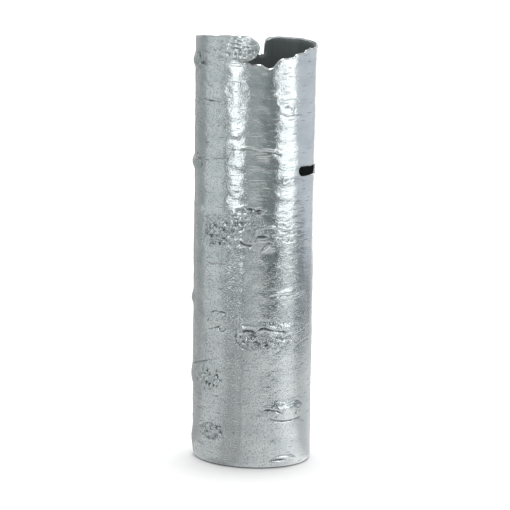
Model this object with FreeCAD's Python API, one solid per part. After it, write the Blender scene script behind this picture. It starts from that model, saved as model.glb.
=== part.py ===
"""A tall vase cast in metal from a length of birch log.

The bark shell is one open casting with a torn rim, a split through its wall
and knots that stand proud of it.  A round floor is brazed into its lower end,
a bead of sealant makes the joint watertight, and a felt pad under the floor
carries the vase clear of the table.

The frame: millimetres, +Z up, -Y is the front, and the origin is the middle
of the pad's lower face, which is the plane that the vase stands on.
"""
import FreeCAD, Part
import math
import os

from FreeCAD import Matrix, Vector

# Driving dimensions
HEIGHT = 405.0            # the table to the highest point of the rim
RADIUS = 55.5             # mean outer radius of the log
OVAL_TURN = -45.0         # the section's long axis points to the front and right
WALL = 3.0                # thickness of the casting
FOOT_RADIUS = 2.0         # rounding of the outer edge at the bottom

PAD_PROUD = 1.0           # how far the felt stands below the casting
PAD_THICKNESS = 3.0
PAD_GAP = 1.2             # between the felt and the wall around it
FLOOR_THICKNESS = 4.0
BEAD_LEG = 5.0            # the sealant's width on the floor and height on the wall
BEAD_LIP = 0.4            # the sealant's thickness at its upper edge

REACH = 90.0              # longer than any cutter needs to be
ABOVE = HEIGHT + 60.0

# The log is not quite true: height as a part of the whole, radius, how far the
# oval section's half axes leave that radius, and the sideways shift of its middle.
LOG_SECTIONS = [
    (0.00, RADIUS - 0.3, 0.040, 0.0),
    (0.35, RADIUS, 0.030, -0.3),
    (0.65, RADIUS + 0.4, 0.020, 0.1),
    (1.03, RADIUS + 1.2, 0.015, 0.4),
]
KNOT_OVALNESS = 0.025     # the section's ovalness halfway up, for placing knots

# Rim, seen from the front: (x, z) of the points that its outline goes through.
LEFT_RIM_Z = HEIGHT - 7.0      # where the front and back outlines meet
RIGHT_RIM_Z = HEIGHT - 14.5
FRONT_CREST = [(-44.0, HEIGHT - 3.0), (-27.0, HEIGHT - 0.6), (-12.0, HEIGHT)]
LOBE_TIP = (1.0, HEIGHT - 12.5)
LOBE_ROOT = (-9.5, HEIGHT - 23.5)
FRONT_TEAR = [
    (-4.5, HEIGHT - 26.5),
    (4.0, HEIGHT - 26.0),
    (9.5, HEIGHT - 29.0),
    (15.0, HEIGHT - 27.5),
    (20.0, HEIGHT - 21.0),
    (30.0, HEIGHT - 21.5),
    (36.0, HEIGHT - 17.5),
    (44.0, HEIGHT - 16.5),
]
BACK_SHOULDER = [(-45.0, HEIGHT - 14.0), (-34.0, HEIGHT - 15.5)]
BACK_NOTCH = [
    (-24.0, HEIGHT - 17.5),
    (-19.0, HEIGHT - 27.0),
    (-7.0, HEIGHT - 31.0),
    (5.0, HEIGHT - 29.5),
    (8.2, HEIGHT - 22.0),
    (8.8, HEIGHT - 17.0),
    (14.0, HEIGHT - 15.0),
]

# Split through the wall, right of the front
SPLIT_ANGLE = 64.0        # its middle, from the front towards the right
SPLIT_SPAN = 36.0         # degrees of the wall that it takes
SPLIT_HEIGHT = 8.0
SPLIT_Z = 276.5

# Knots: angle from the front, height, half width, half height, how far proud
KNOTS = [
    (-19.0, HEIGHT - 13.0, 16.0, 11.0, 1.8),
    (-72.0, 376.0, 15.0, 8.0, 2.2),
    (-74.0, 281.0, 14.0, 6.5, 2.2),
    (-12.0, 225.0, 24.0, 11.0, 1.5),
    (-82.0, 151.0, 12.0, 5.0, 1.8),
    (6.0, 121.0, 22.0, 11.0, 2.0),
    (-60.0, 80.0, 20.0, 11.0, 2.2),
    (34.0, 54.0, 21.0, 8.0, 2.0),
    (-56.0, 30.0, 22.0, 10.0, 1.8),
    (118.0, 330.0, 14.0, 8.0, 2.0),
    (150.0, 196.0, 20.0, 11.0, 2.0),
    (-140.0, 258.0, 18.0, 9.0, 2.0),
    (-158.0, 104.0, 17.0, 9.0, 2.0),
    (112.0, 92.0, 16.0, 8.0, 2.0),
]

# Heights that follow
CASTING_FOOT = PAD_PROUD
FLOOR_UNDERSIDE = PAD_THICKNESS
FLOOR_TOP = FLOOR_UNDERSIDE + FLOOR_THICKNESS


def log_section(z, section, inset):
    """One oval outline of the log, inset from its outer face."""
    _, radius, ovalness, shift = section
    half_long = radius * (1 + ovalness) - inset
    half_short = radius * (1 - ovalness) - inset
    outline = Part.Wire(Part.Ellipse(Vector(0, 0, 0), half_long, half_short).toShape())
    outline.rotate(Vector(0, 0, 0), Vector(0, 0, 1), OVAL_TURN)
    outline.translate(Vector(shift, 0, z))
    return outline


def log_body(inset):
    """The whole log as a closed solid, inset from its outer face."""
    outlines = [log_section(section[0] * HEIGHT, section, inset) for section in LOG_SECTIONS]
    return Part.makeLoft(outlines, True, False)


def rounded_log():
    """The log's outer form, standing on its rounded lower edge."""
    log = log_body(0).common(slab(CASTING_FOOT, ABOVE))
    foot = [edge for edge in log.Edges if edge.BoundBox.ZMax < CASTING_FOOT + FOOT_RADIUS]
    return log.makeFillet(FOOT_RADIUS, foot)


def slab(low, high):
    """Everything between two heights."""
    box = Part.makeBox(2 * REACH, 2 * REACH, high - low)
    box.translate(Vector(-REACH, -REACH, low))
    return box


def in_elevation(points):
    """Points given as (x, z), standing in the plane through the log's middle."""
    return [Vector(x, 0, z) for x, z in points]


def through(points):
    """A smooth edge through points."""
    curve = Part.BSplineCurve()
    curve.interpolate(points)
    return curve.toShape()


def above_outline(edges, towards):
    """All that lies above an outline, on one side of the log's middle plane."""
    start = edges[0].firstVertex().Point
    end = edges[-1].lastVertex().Point
    frame = [
        end,
        Vector(REACH, 0, end.z),
        Vector(REACH, 0, ABOVE),
        Vector(-REACH, 0, ABOVE),
        Vector(-REACH, 0, start.z),
        start,
    ]
    closing = [Part.LineSegment(a, b).toShape() for a, b in zip(frame, frame[1:])]
    face = Part.Face(Part.Wire(edges + closing))
    return face.extrude(Vector(0, towards * REACH, 0))


def front_cutter():
    """Removes what is above the front of the rim: crest, lobe and tear."""
    crest = in_elevation([(-RADIUS, LEFT_RIM_Z)] + FRONT_CREST)
    tip = in_elevation([LOBE_TIP])[0]
    root = in_elevation([LOBE_ROOT])[0]
    tear = [root] + in_elevation(FRONT_TEAR + [(RADIUS, RIGHT_RIM_Z)])
    lobe = Part.Arc(crest[-1], tip, root).toShape()
    return above_outline([through(crest), lobe, through(tear)], -1)


def back_cutter():
    """Removes what is above the back of the rim, with its deep notch."""
    shoulder = in_elevation([(-RADIUS, LEFT_RIM_Z)] + BACK_SHOULDER + BACK_NOTCH[:1])
    notch = in_elevation(BACK_NOTCH)
    rest = Part.LineSegment(notch[-1], Vector(RADIUS, 0, RIGHT_RIM_Z)).toShape()
    return above_outline([through(shoulder), through(notch), rest], 1)


def split_cutter():
    """A round-ended bar that follows the wall and opens the split."""
    reach_in = RADIUS - 3 * WALL
    reach_out = RADIUS + 3 * WALL
    half = SPLIT_HEIGHT / 2
    foot = Vector(0, 0, SPLIT_Z - half)
    ring = Part.makeCylinder(reach_out, SPLIT_HEIGHT, foot, Vector(0, 0, 1), SPLIT_SPAN)
    core = Part.makeCylinder(reach_in, SPLIT_HEIGHT, foot)
    bar = ring.cut(core)
    first_side = SPLIT_ANGLE - 90.0 - SPLIT_SPAN / 2
    bar.rotate(Vector(0, 0, 0), Vector(0, 0, 1), first_side)
    ends = []
    for side in (first_side, first_side + SPLIT_SPAN):
        out = Vector(math.cos(math.radians(side)), math.sin(math.radians(side)), 0)
        middle = out * reach_in + Vector(0, 0, SPLIT_Z)
        ends.append(Part.makeCylinder(half, reach_out - reach_in, middle, out))
    return bar.fuse(ends)


def knot(angle, z, half_width, half_height, proud):
    """A flattened lump that is centred on the middle of the wall."""
    oval = 1 + KNOT_OVALNESS * math.cos(2 * math.radians(angle + OVAL_TURN))
    depth = proud + WALL / 2
    lump = Part.makeSphere(1.0)
    stretch = Matrix()
    stretch.scale(half_width, depth, half_height)
    lump = lump.transformGeometry(stretch)
    lump.translate(Vector(0, WALL / 2 - RADIUS * oval, z))
    lump.rotate(Vector(0, 0, 0), Vector(0, 0, 1), angle)
    return lump


def bark_shell():
    """The casting: the hollow log with its rim, its split and its knots."""
    hollow = log_body(WALL)
    casting = rounded_log().fuse([knot(*place) for place in KNOTS])
    return casting.cut([hollow, front_cutter(), back_cutter(), split_cutter()])


def base_floor():
    """The round floor, a push fit in the log and brazed round its edge."""
    return log_body(WALL).common(slab(FLOOR_UNDERSIDE, FLOOR_TOP))


def base_seal():
    """The bead of sealant in the corner between the floor and the wall."""
    top = FLOOR_TOP + BEAD_LEG
    lower = log_section(FLOOR_TOP, LOG_SECTIONS[0], WALL + BEAD_LEG)
    upper = log_section(top, LOG_SECTIONS[0], WALL + BEAD_LIP)
    face = Part.makeLoft([lower, upper], True, True)
    return log_body(WALL).common(slab(FLOOR_TOP, top)).cut(face)


def base_pad():
    """The felt disc glued into the recess under the floor."""
    outline = log_section(0.0, LOG_SECTIONS[0], WALL + PAD_GAP)
    return Part.Face(outline).extrude(Vector(0, 0, PAD_THICKNESS))


PIECES = {
    "bark_shell": bark_shell,
    "base_floor": base_floor,
    "base_seal": base_seal,
    "base_pad": base_pad,
}


def only_solid(shape, name):
    """The one closed solid that a piece must be."""
    solids = shape.Solids
    if len(solids) != 1 or not solids[0].isValid():
        raise RuntimeError(f"{name} is {len(solids)} solids, or not a valid one")
    return solids[0]


os.makedirs("parts", exist_ok=True)
for name, make in PIECES.items():
    solid = only_solid(make(), name)
    solid.exportStep(f"parts/{name}.step")
    box = solid.BoundBox
    print(f"{name}: {solid.Volume / 1000:.1f} cm3, z {box.ZMin:.2f} to {box.ZMax:.2f}, "
          f"x {box.XMin:.2f} to {box.XMax:.2f}, y {box.YMin:.2f} to {box.YMax:.2f}")
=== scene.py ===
"""Looks of a tall vase cast in bright metal from a length of birch log.

The casting is built here as one closed mesh: its outer face carries the bark
relief, its inner face is plain, and a rounded lip joins them along the torn
rim and round the split.  Lengths are in millimetres until a mesh is made.
Places on the bark are given as an angle from the front, in degrees with right
positive, and a height above the table.
"""
import math

import bpy
import numpy as np
from mathutils import Matrix, Vector


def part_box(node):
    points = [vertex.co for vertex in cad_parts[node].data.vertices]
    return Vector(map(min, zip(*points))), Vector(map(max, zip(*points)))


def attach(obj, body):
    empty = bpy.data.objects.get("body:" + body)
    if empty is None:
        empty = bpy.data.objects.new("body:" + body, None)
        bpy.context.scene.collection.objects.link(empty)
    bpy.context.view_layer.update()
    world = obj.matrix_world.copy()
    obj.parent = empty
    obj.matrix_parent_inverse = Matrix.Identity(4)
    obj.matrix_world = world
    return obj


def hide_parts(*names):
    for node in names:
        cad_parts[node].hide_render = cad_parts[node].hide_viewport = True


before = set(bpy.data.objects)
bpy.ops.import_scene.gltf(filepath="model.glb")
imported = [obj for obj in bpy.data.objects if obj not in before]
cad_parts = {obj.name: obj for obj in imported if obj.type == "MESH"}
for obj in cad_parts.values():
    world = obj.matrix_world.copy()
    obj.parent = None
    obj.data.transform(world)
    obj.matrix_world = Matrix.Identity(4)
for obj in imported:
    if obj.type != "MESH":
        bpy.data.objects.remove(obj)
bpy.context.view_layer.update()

MM = 0.001
SEED = 20

# ---------------------------------------------------------------- the log
shell_low, shell_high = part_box("bark_shell")
floor_low, floor_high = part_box("base_floor")
pad_low, pad_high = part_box("base_pad")
seal_low, seal_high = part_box("base_seal")

WALL = 3.0
# Sizes read from the frame are rounded, so that a repacked frame gives the same mesh.
HEIGHT = round(shell_high.z / MM * 2) / 2
FOOT = round(shell_low.z / MM, 1)
ROOT_RADIUS = round((floor_high.x - floor_low.x) / 2 / MM, 1) + WALL
GIRTH_RADIUS = ROOT_RADIUS + 0.3          # turns angles into distances along the bark
OVAL_TURN = math.radians(45)              # the section's long axis, front right

# part of the height, radius more than at the root, ovalness, sideways shift
LOG_SECTIONS = np.array([
    (0.00, 0.0, 0.040, 0.0),
    (0.35, 0.3, 0.030, -0.3),
    (0.65, 0.7, 0.020, 0.1),
    (1.03, 1.5, 0.015, 0.4),
])
FOOT_ROUND_IN = 2.2       # how far the foot's rounding draws in
FOOT_ROUND_UP = 5.0       # and how high it starts
BAND_HEIGHT = 214         # lower edge of the band of knots, where the flutes start


def in_degrees(turn):
    """Angles in radians as degrees from -180 to 180."""
    return (np.degrees(turn) + 180) % 360 - 180


def along_log(column, z):
    """One property of the log at heights z, smooth through its four sections."""
    curve = np.polyfit(LOG_SECTIONS[:, 0], LOG_SECTIONS[:, column], 3)
    return np.polyval(curve, z / HEIGHT)


def log_radius(angle, z, inset=0.0):
    """Distance from the log's middle to its face, at angles in radians."""
    radius = ROOT_RADIUS + along_log(1, z)
    oval = along_log(2, z)
    long_half = radius * (1 + oval) - inset
    short_half = radius * (1 - oval) - inset
    turn = angle - OVAL_TURN
    return long_half * short_half / np.hypot(short_half * np.cos(turn), long_half * np.sin(turn))


def in_space(angle, z, radius):
    """Points in metres from angles, heights and distances from the middle."""
    x = along_log(3, z) + radius * np.sin(angle)
    y = -radius * np.cos(angle)
    return np.stack([x, y, z], -1) * MM


def foot_rounding(z):
    """How far the outer face draws in near its lower edge."""
    depth = np.clip((FOOT + FOOT_ROUND_UP - z) / FOOT_ROUND_UP, 0, 1)
    return FOOT_ROUND_IN * (1 - np.sqrt(1 - depth ** 2))


# ---------------------------------------------------------------- relief
PITCH = 0.5               # spacing of the raster that the relief is drawn on
HEADROOM = 8              # how far the raster reaches above the rim
GIRTH = 2 * math.pi * GIRTH_RADIUS
COLUMNS = int(round(GIRTH / PITCH))
ROWS = int(round((HEIGHT + HEADROOM) / PITCH))
RASTER_S = np.arange(COLUMNS) * GIRTH / COLUMNS
RASTER_Z = np.arange(ROWS) * PITCH
RASTER_ANGLE = in_degrees(RASTER_S / GIRTH_RADIUS)

rng = np.random.default_rng(SEED)


def spline_weights(at, cell, count, closed):
    """Weights of a cubic spline on a lattice, for every place in at."""
    place = at / cell
    first = np.floor(place).astype(int)
    t = place - first
    parts = [(1 - t) ** 3, 3 * t ** 3 - 6 * t ** 2 + 4, -3 * t ** 3 + 3 * t ** 2 + 3 * t + 1, t ** 3]
    weights = np.zeros((len(at), count))
    for step, part in enumerate(parts):
        knot = first + step
        knot = knot % count if closed else np.minimum(knot, count - 1)
        np.add.at(weights, (np.arange(len(at)), knot), part / 6)
    return weights


def stripe(angle, middle, half_width):
    """1 along an upright stripe of the log, 0 away from it, for angles in degrees."""
    return np.exp(-((angle - middle) / half_width) ** 4)


def below(z, top, soft):
    """1 below a height and 0 above it, with a soft edge."""
    return np.clip((top - z) / soft, 0, 1)


def smooth_strip(angle):
    """The smooth bark at the right, with the split in it."""
    return stripe(angle, 66, 24)


def flank(angle, z):
    """The smooth field front right, between the band of knots and the branch collar."""
    return np.clip(np.minimum(BAND_HEIGHT - z, z - 138) / 8, 0, 1) * stripe(angle, 26, 18)


def low_right(angle, z):
    """The smooth field low at the right."""
    return below(z, 112, 10) * stripe(angle, 42, 24)


def noise(cell_s, cell_z):
    """Smooth random heights of unit spread, with no seam round the log."""
    around = max(4, int(round(GIRTH / cell_s)))
    up = int(RASTER_Z[-1] / cell_z) + 5
    lattice = rng.standard_normal((up, around))
    field = (spline_weights(RASTER_Z, cell_z, up, False) @ lattice
             @ spline_weights(RASTER_S, GIRTH / around, around, True).T)
    return field / field.std()


coarse_grit = noise(4.2, 3.0)
fine_grit = noise(2.2, 1.8)


def turned(angle):
    """Distance along the bark of an angle in degrees."""
    return math.radians(angle) * GIRTH_RADIUS


def angle_of(distance):
    """Angle in degrees of a distance along the bark."""
    return math.degrees(distance / GIRTH_RADIUS)


relief = np.zeros((ROWS, COLUMNS))
scarring = np.zeros((ROWS, COLUMNS))      # 1 where bark is torn or healed over, 0 where whole


def patch(angle, z, reach_s, reach_z):
    """Raster rows and columns near a place, with distances right and up from it."""
    middle = int(round(turned(angle) / PITCH))
    span = int(reach_s / PITCH) + 1
    columns = np.arange(middle - span, middle + span + 1)
    low = max(0, int((z - reach_z) / PITCH))
    high = min(ROWS, int((z + reach_z) / PITCH) + 2)
    rows = np.arange(low, high)
    right = columns * (GIRTH / COLUMNS) - turned(angle)
    up = RASTER_Z[rows] - z
    return np.ix_(rows, columns % COLUMNS), right[None, :], up[:, None]


def swell(angle, z, half_width, half_height, height):
    """A smooth rise, or a hollow if height is negative."""
    where, right, up = patch(angle, z, half_width, half_height)
    reach = (right / half_width) ** 2 + (up / half_height) ** 2
    relief[where] += height * np.clip(1 - reach, 0, 1) ** 2


def gash(angle, z, length, width, depth, lip=0.35, lean=0.0):
    """A lens-shaped slit with raised lips, as a lenticel has."""
    where, right, up = patch(angle, z, length * 0.6, width * 3 + abs(lean) * length)
    taper = np.clip(1 - (2 * right / length) ** 2, 0, 1)
    across = (up - lean * right) / width
    slit = -depth * np.exp(-(across * 1.8) ** 2)
    lips = lip * depth * np.exp(-((np.abs(across) - 1.15) * 2.0) ** 2)
    relief[where] += np.sqrt(taper) * slit + taper * lips


def nearest_on_path(points, right, up):
    """Distance to a path, positive above or left of it, and the part of it passed."""
    best = np.full(np.broadcast(right, up).shape, np.inf)
    signed = np.zeros_like(best)
    passed = np.zeros_like(best)
    runs = np.hypot(*np.diff(points, axis=0).T)
    total = runs.sum()
    gone = 0.0
    for start, end, run in zip(points[:-1], points[1:], runs):
        along = (end - start) / run
        t = np.clip((right - start[0]) * along[0] + (up - start[1]) * along[1], 0, run)
        dx = right - start[0] - t * along[0]
        dz = up - start[1] - t * along[1]
        distance = np.hypot(dx, dz)
        nearer = distance < best
        side = np.where(along[0] * dz - along[1] * dx >= 0, 1.0, -1.0)
        best = np.where(nearer, distance, best)
        signed = np.where(nearer, side * distance, signed)
        passed = np.where(nearer, (gone + t) / total, passed)
        gone += run
    return signed, passed


def rounded_path(places):
    """Listed places as a smooth path of many short runs, from the first place."""
    points = np.array([(turned(a), z) for a, z in places])
    origin = points[0].copy()
    for _ in range(2 if len(points) > 2 else 0):
        cut = np.repeat(points, 2, axis=0)[1:-1]
        near = 0.75 * cut[0::2] + 0.25 * cut[1::2]
        far = 0.25 * cut[0::2] + 0.75 * cut[1::2]
        middle = np.stack([near, far], 1).reshape(-1, 2)
        points = np.concatenate([points[:1], middle[1:-1], points[-1:]])
    return points - origin, places[0]


def crease(places, depth, width=0.9, ledge=0.5):
    """A groove along a path, with a raised ledge on its upper side."""
    points, (angle, z) = rounded_path(places)
    margin = 4 * width
    middle = (points.min(0) + points.max(0)) / 2
    reach = (points.max(0) - points.min(0)) / 2 + margin
    centre = angle + angle_of(middle[0])
    where, right, up = patch(centre, z + middle[1], reach[0], reach[1])
    signed, passed = nearest_on_path(points, right + middle[0], up + middle[1])
    signed = signed + 0.22 * coarse_grit[where]
    fade = np.clip(6 * np.minimum(passed, 1 - passed) + 0.15, 0, 1)
    fade = fade * np.clip(1.3 + 0.35 * coarse_grit[where], 0.4, 2.0)
    groove = -depth * np.exp(-(signed / width * 1.3) ** 2)
    raised = ledge * depth * np.exp(-((signed - 1.5 * width) / width) ** 2)
    relief[where] += fade * (groove + raised)


def ridge(places, height, width=0.9):
    """A raised welt along a path, with a faint groove under it."""
    crease(places, -height, width, ledge=0.3)


def loop(angle, z, half_width, half_height, depth, width=0.8, start=0, end=360):
    """A groove along an oval, or along a part of it, counted from its right side."""
    turns = np.radians(np.linspace(start, end, 17))
    centre = turned(angle)
    places = [
        (angle_of(centre + half_width * math.cos(t)), z + half_height * math.sin(t)) for t in turns
    ]
    crease(places, depth, width, ledge=0.35)


def anywhere_in(half_width, half_height):
    """A random place in an oval, as distances right and up from its middle."""
    away = math.sqrt(rng.random())
    turn = rng.random() * 2 * math.pi
    return away * half_width * math.cos(turn), away * half_height * math.sin(turn)


def lumps(angle, z, half_width, half_height, amount, count, size):
    """Small lumps strewn over a patch, as on a healed knot."""
    for _ in range(count):
        right, up = anywhere_in(half_width, half_height)
        big = size * rng.uniform(0.7, 1.4)
        sign = 1.0 if rng.random() < 0.75 else -0.35
        swell(angle + angle_of(right), z + up,
              big * rng.uniform(1.3, 3.0), big, sign * amount * rng.uniform(0.4, 1.0))


def curls(angle, z, half_width, half_height, count, depth, length):
    """Short curled wrinkles strewn over a patch, as torn bark has."""
    for _ in range(count):
        right, up = anywhere_in(half_width, half_height)
        heading = rng.uniform(0, 2 * math.pi)
        bend = rng.uniform(-1.5, 1.5)
        run = length * rng.uniform(0.2, 0.5)
        places = []
        for _ in range(4):
            places.append((angle + angle_of(right), z + up))
            right += run * math.cos(heading)
            up += run * 0.8 * math.sin(heading)
            heading += bend
        deep = depth * rng.uniform(0.5, 1.3)
        wide = rng.uniform(0.6, 0.9)
        crease(places, deep, wide, ledge=rng.uniform(0.5, 1.0))


def rough(angle, z, half_width, half_height, amount, scars=1.8):
    """Torn, curling bark over a patch, with fine scars in proportion."""
    where, right, up = patch(angle, z, half_width, half_height)
    reach = (right / half_width) ** 2 + (up / half_height) ** 2
    mask = np.clip(1.3 * (1 - reach), 0, 1)
    uneven = 0.9 - np.abs(coarse_grit[where]) + 0.35 * fine_grit[where]
    relief[where] += amount * mask * uneven
    scarring[where] = np.maximum(scarring[where], np.minimum(scars * amount, 1) * mask)


def birch_skin():
    """Long flutes up the log and the thin cross grain of birch bark."""
    broad = 0.22 * noise(24, 150) + 0.12 * noise(12, 60) + 0.11 * noise(8, 12)
    rings = 0.04 * noise(26, 5.5) + 0.055 * noise(8, 3.6) + 0.03 * noise(4, 1.9)
    pores = 0.07 * noise(4.5, 4) + 0.02 * noise(2.4, 1.8)
    up = RASTER_Z[:, None]
    strip = smooth_strip(RASTER_ANGLE)
    upper_left = np.clip((up - 300) / 25, 0, 1) * stripe(RASTER_ANGLE, -27, 13)
    flute = below(up, BAND_HEIGHT, 12) * stripe(RASTER_ANGLE, -20, 8)
    broad = broad * (1 - 0.5 * strip - 0.75 * upper_left)
    skin = broad + (rings + pores) * (1 - 0.6 * strip)
    skin = skin * (1 - 0.75 * flute) * (1 - 0.62 * flank(RASTER_ANGLE, up))
    return skin * (1 - 0.45 * low_right(RASTER_ANGLE, up))


def strewn_lenticels(count):
    """Short cross slits all over the bark, few on the smooth strip."""
    for _ in range(count):
        angle = rng.uniform(-180, 180)
        z = rng.uniform(4, HEIGHT - 20)
        length = min(16.0, rng.lognormal(1.45, 0.55))
        width = rng.uniform(0.55, 1.0)
        depth = rng.uniform(0.08, 0.26)
        lean = rng.normal(0, 0.03)
        if 44 < angle < 88 and rng.random() < 0.45:
            depth *= 0.5
        gash(angle, z, length, width, depth, rng.uniform(0.2, 0.8), lean)


def eye_knot(angle, z, half_width, half_height, height):
    """A healed branch scar: a rise with lids, rings and a lumpy middle."""
    wide = angle_of(half_width)
    swell(angle, z, half_width * 1.25, half_height * 1.4, height)
    upper_lid = [(-1, 0.2), (-0.5, 0.75), (0.2, 0.7), (1, 0.1)]
    lower_lid = [(-0.9, -0.1), (-0.3, -0.8), (0.4, -0.75), (1, 0)]
    crease([(angle + a * wide, z + b * half_height) for a, b in upper_lid], 0.7, 1.1)
    crease([(angle + a * wide, z + b * half_height) for a, b in lower_lid], 0.6, 1.0, ledge=0.2)
    loop(angle, z, half_width * 0.5, half_height * 0.45, 0.45, 0.9, 30, 330)
    rough(angle, z, half_width * 0.9, half_height * 0.8, 0.4)
    curls(angle, z, half_width * 0.7, half_height * 0.6, 18, 0.45, 5)


def curled_out(angle, z, half_width, half_height, rise):
    """Bark that stands further out towards its right edge, down to half_height below z."""
    where, right, up = patch(angle, z, half_width, half_height + 5)
    along = np.clip((right + half_width) / (2 * half_width), 0, 1)
    relief[where] += rise * along ** 2 * np.clip((up + half_height) / 5, 0, 1)


def top_of_bark():
    """The knobby lobe over the tear, and the marks of the upper third."""
    curled_out(-13, HEIGHT - 12, 17, 14, 3.0)
    swell(25, 367, 13, 24, -0.6)
    rough(-52, 345, 32, 62, 0.13, scars=0.5)
    curls(-50, 335, 26, 50, 40, 0.2, 5)
    swell(-18, HEIGHT - 12, 26, 17, 0.8)
    rough(-17, HEIGHT - 12, 22, 14, 0.35, scars=0.4)
    rough(-34, HEIGHT - 17, 16, 12, 0.35, scars=0.8)
    lumps(-12, HEIGHT - 12, 14, 9, 0.4, 20, 1.3)
    curls(-14, HEIGHT - 12, 17, 10, 7, 0.4, 6)
    curls(-36, HEIGHT - 18, 15, 11, 14, 0.3, 5)
    for start, z, stop in [(-27, 400.5, -14), (-30, 397, -9), (-24, 393.4, -15), (-12, 394.6, -3)]:
        crease([(start, z), ((start + stop) / 2, z + 0.8), (stop, z - 0.5)], 0.6, 0.7, ledge=0.9)
    for place, rise in [(-20, 9), (-15.5, 7), (-11, 11), (-7, 8), (-3.6, 10), (0, 7)]:
        top = HEIGHT - 9 - 0.4 * abs(place + 8)
        squiggle = [(place, top), (place + 1.6, top - rise / 2), (place + 0.4, top - rise)]
        crease(squiggle, 0.6, 0.7, ledge=0.8)
    swell(-82, 376, 17, 10, 2.3)
    rough(-66, 378, 13, 10, 0.5)
    curls(-66, 378, 12, 9, 12, 0.45, 5)
    gash(-48, 342.5, 27, 1.25, 1.0, 0.6)
    gash(-41.5, 345.8, 8, 1.0, 0.4, 0.9)
    gash(-52, 303, 14, 0.9, 0.5)
    gash(-28, 368, 7, 0.8, 0.4)
    gash(28, 369.5, 5, 0.8, 0.4)
    swell(-20, 313, 15, 5, 0.55)
    swell(-29, 268, 14, 42, 0.4)
    crease([(22, 343), (30, 346), (40, 345.5), (46, 341)], 0.4, 0.9, ledge=0.6)
    crease([(24, 333), (32, 330), (42, 331), (50, 329)], 0.4, 0.9, ledge=0.6)
    curls(33, 338, 12, 7, 9, 0.3, 5)
    gash(30, 351, 12, 0.9, 0.35)
    gash(-2, 311.5, 11, 0.9, 0.4, 0.9)
    crease([(-13, 299.8), (-6, 300.8), (1, 299.2), (5, 299.4)], 0.6, 1.0, ledge=1.1)
    crease([(3, 297.6), (10, 298.6), (17, 297.6), (24, 295.6)], 0.7, 1.1, ledge=1.1)
    gash(8, 295.4, 15, 1.2, 1.1, 0.7)
    curls(8, 299, 18, 3, 8, 0.3, 5)
    swell(-85, 281, 16, 9, 2.3)
    rough(-66, 284, 11, 8, 0.45)
    curls(-68, 284, 10, 8, 9, 0.45, 5)
    curls(33, 270.5, 5, 3, 4, 0.35, 4)
    for angle, z, length in [(-2, 284, 18), (-1, 271, 20), (11.5, 263.4, 7),
                             (6.5, 257, 8), (8.5, 253, 7)]:
        gash(angle, z, length, 0.8, 0.32, 0.8)
    swell(-62, 240, 4, 5, 0.9)


def middle_of_bark():
    """The wide band of healed knots half way up."""
    swell(-2, 226, 56, 26, 0.9)
    crease([(-13, 245.4), (-7, 246.6), (-1, 245)], 0.7, 0.8, ledge=0.6)
    crease([(0, 243.6), (5, 244.6), (9, 243.8)], 0.8, 0.9, ledge=0.5)
    swell(-4, 242, 15, 5.5, -0.3)
    rough(-4, 242.5, 15, 5, 0.6)
    curls(-3, 242.5, 14, 4, 24, 0.6, 3)
    swell(-20, 240.5, 4, 3, 0.9)
    gash(-19.5, 238.3, 7, 1.3, 0.9)
    rough(-37, 222, 22, 18, 0.6)
    lumps(-37, 222, 17, 13, 0.45, 24, 1.3)
    curls(-37, 221, 19, 15, 50, 0.36, 6)
    rough(-10, 228, 24, 13, 0.45)
    curls(-8, 226, 22, 13, 26, 0.45, 5)
    curls(26, 221, 20, 10, 16, 0.35, 5)
    crease([(-13, 215), (-10.5, 212.4), (-6, 211), (-2, 211.6)], 1.3, 1.25, ledge=0.45)
    loop(-2, 207.6, 2.6, 2.0, 0.5, 0.8, 60, 330)
    gash(7.5, 219.3, 11, 2.6, 1.9, 0.3)
    ridge([(2.5, 224.2), (5.5, 227), (10, 228)], 1.3, 0.9)
    ridge([(11, 228.6), (18.5, 229)], 0.9, 0.9)
    ridge([(8.5, 206), (11, 208.8), (15, 211.4)], 1.2, 1.0)
    swell(15, 202, 9, 8, -0.6)
    for angle, z in [(21.5, 220), (25, 219), (29, 223.5), (38, 214), (33, 227)]:
        gash(angle, z, 4.5, 1.5, 0.7, 0.5)
    ridge([(29, 217.6), (38, 218.6), (46, 217.8)], 0.45, 1.0)
    lumps(32, 224, 16, 10, 0.3, 14, 1.3)
    crease([(-54, 192), (-46, 190.8), (-36, 192), (-25, 191.4)], 0.5, 0.9)
    gash(-42, 178, 20, 0.8, 0.3)
    swell(-88, 152, 14, 8, 1.7)
    swell(35, 166.4, 10, 4.2, 0.7)
    ridge([(16, 165.6), (24, 166.4), (30, 166.8)], 0.5, 1.0)
    gash(31, 163.4, 24, 0.9, 0.6, 0.9)
    curls(24, 164, 8, 1.5, 6, 0.3, 4)
    gash(17, 166, 10, 0.8, 0.35)
    crease([(44, 161), (51, 162.6), (59, 162)], 0.35, 0.9)
    loop(-37, 143, 9.5, 3.4, 0.75, 0.9, 30, 200)
    loop(-32, 143.6, 4.0, 3.0, 0.75, 0.9, -120, 150)
    curls(-38, 139, 12, 8, 9, 0.5, 6)
    crease([(-50, 128), (-41, 130.6), (-32, 134.8)], 0.7, 0.9)
    loop(-31, 131, 3.4, 2.2, 0.7, 0.9, 150, 400)
    loop(11, 137.4, 6.4, 2.8, 0.55, 0.9, 10, 170)


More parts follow.
